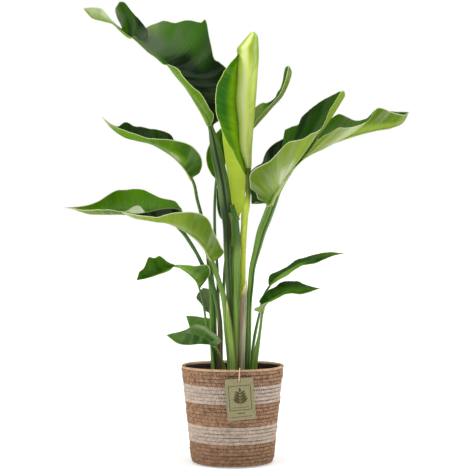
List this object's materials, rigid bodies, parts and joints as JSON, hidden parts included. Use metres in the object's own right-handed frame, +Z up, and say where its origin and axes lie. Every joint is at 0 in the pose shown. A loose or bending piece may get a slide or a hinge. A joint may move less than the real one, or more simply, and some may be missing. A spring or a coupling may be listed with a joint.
{
  "type": "potted bird of paradise plant",
  "caption": "Bird of paradise plant with broad leaves on long upright stalks and one rolled young leaf, in a nursery pot inside a striped plaited basket with a card tag.",
  "frame": {"origin": "centre of the basket's underside, on the basket's axis and on the surface it stands on", "axes": "+Z up along the basket's axis, +X to the plant's right as seen from the front, -Y to the front, where the tag hangs"},
  "size_m": [0.7023, 0.2196, 0.9341],
  "materials": {
    "leaf": "satin",
    "young_leaf": "satin",
    "stalk": "satin",
    "dry_sheath": "matte",
    "soil": "matte",
    "pot": "satin",
    "natural_jute": "matte",
    "white_jute": "matte",
    "card": "matte",
    "twine": "matte"
  },
  "bodies": {
    "root": {"leaf_top_left": "leaf", "leaf_narrow": "leaf", "leaf_right": "leaf", "leaf_left_upper": "leaf", "leaf_left_middle": "leaf", "leaf_left_front": "leaf", "leaf_left_low": "leaf", "leaf_back_centre": "leaf", "leaf_left_back": "leaf", "leaf_left_small": "leaf", "leaf_left_lowest": "leaf", "leaf_right_upper": "leaf", "leaf_right_lower": "leaf", "leaf_spear": "young_leaf", "spear_wrap": "young_leaf", "stalk_top_left": "stalk", "stalk_clasping": "stalk", "stalk_spear": "stalk", "stalk_right": "stalk", "stalk_left_upper": "stalk", "stalk_left_middle": "stalk", "stalk_left_front": "stalk", "stalk_left_low": "stalk", "stalk_back_centre": "stalk", "stalk_narrow": "stalk", "stalk_left_back": "stalk", "stalk_left_small": "stalk", "stalk_left_lowest": "stalk", "stalk_right_upper": "stalk", "stalk_right_lower": "stalk", "dry_sheath": "dry_sheath", "soil": "soil", "nursery_pot": "pot", "basket_floor": "natural_jute", "basket_band_low": "natural_jute", "basket_band_white_low": "white_jute", "basket_band_middle": "natural_jute", "basket_band_white_high": "white_jute", "basket_band_top": "natural_jute", "basket_rim": "natural_jute", "hang_tag": "card", "tag_string": "twine"}
  },
  "joints": []
}
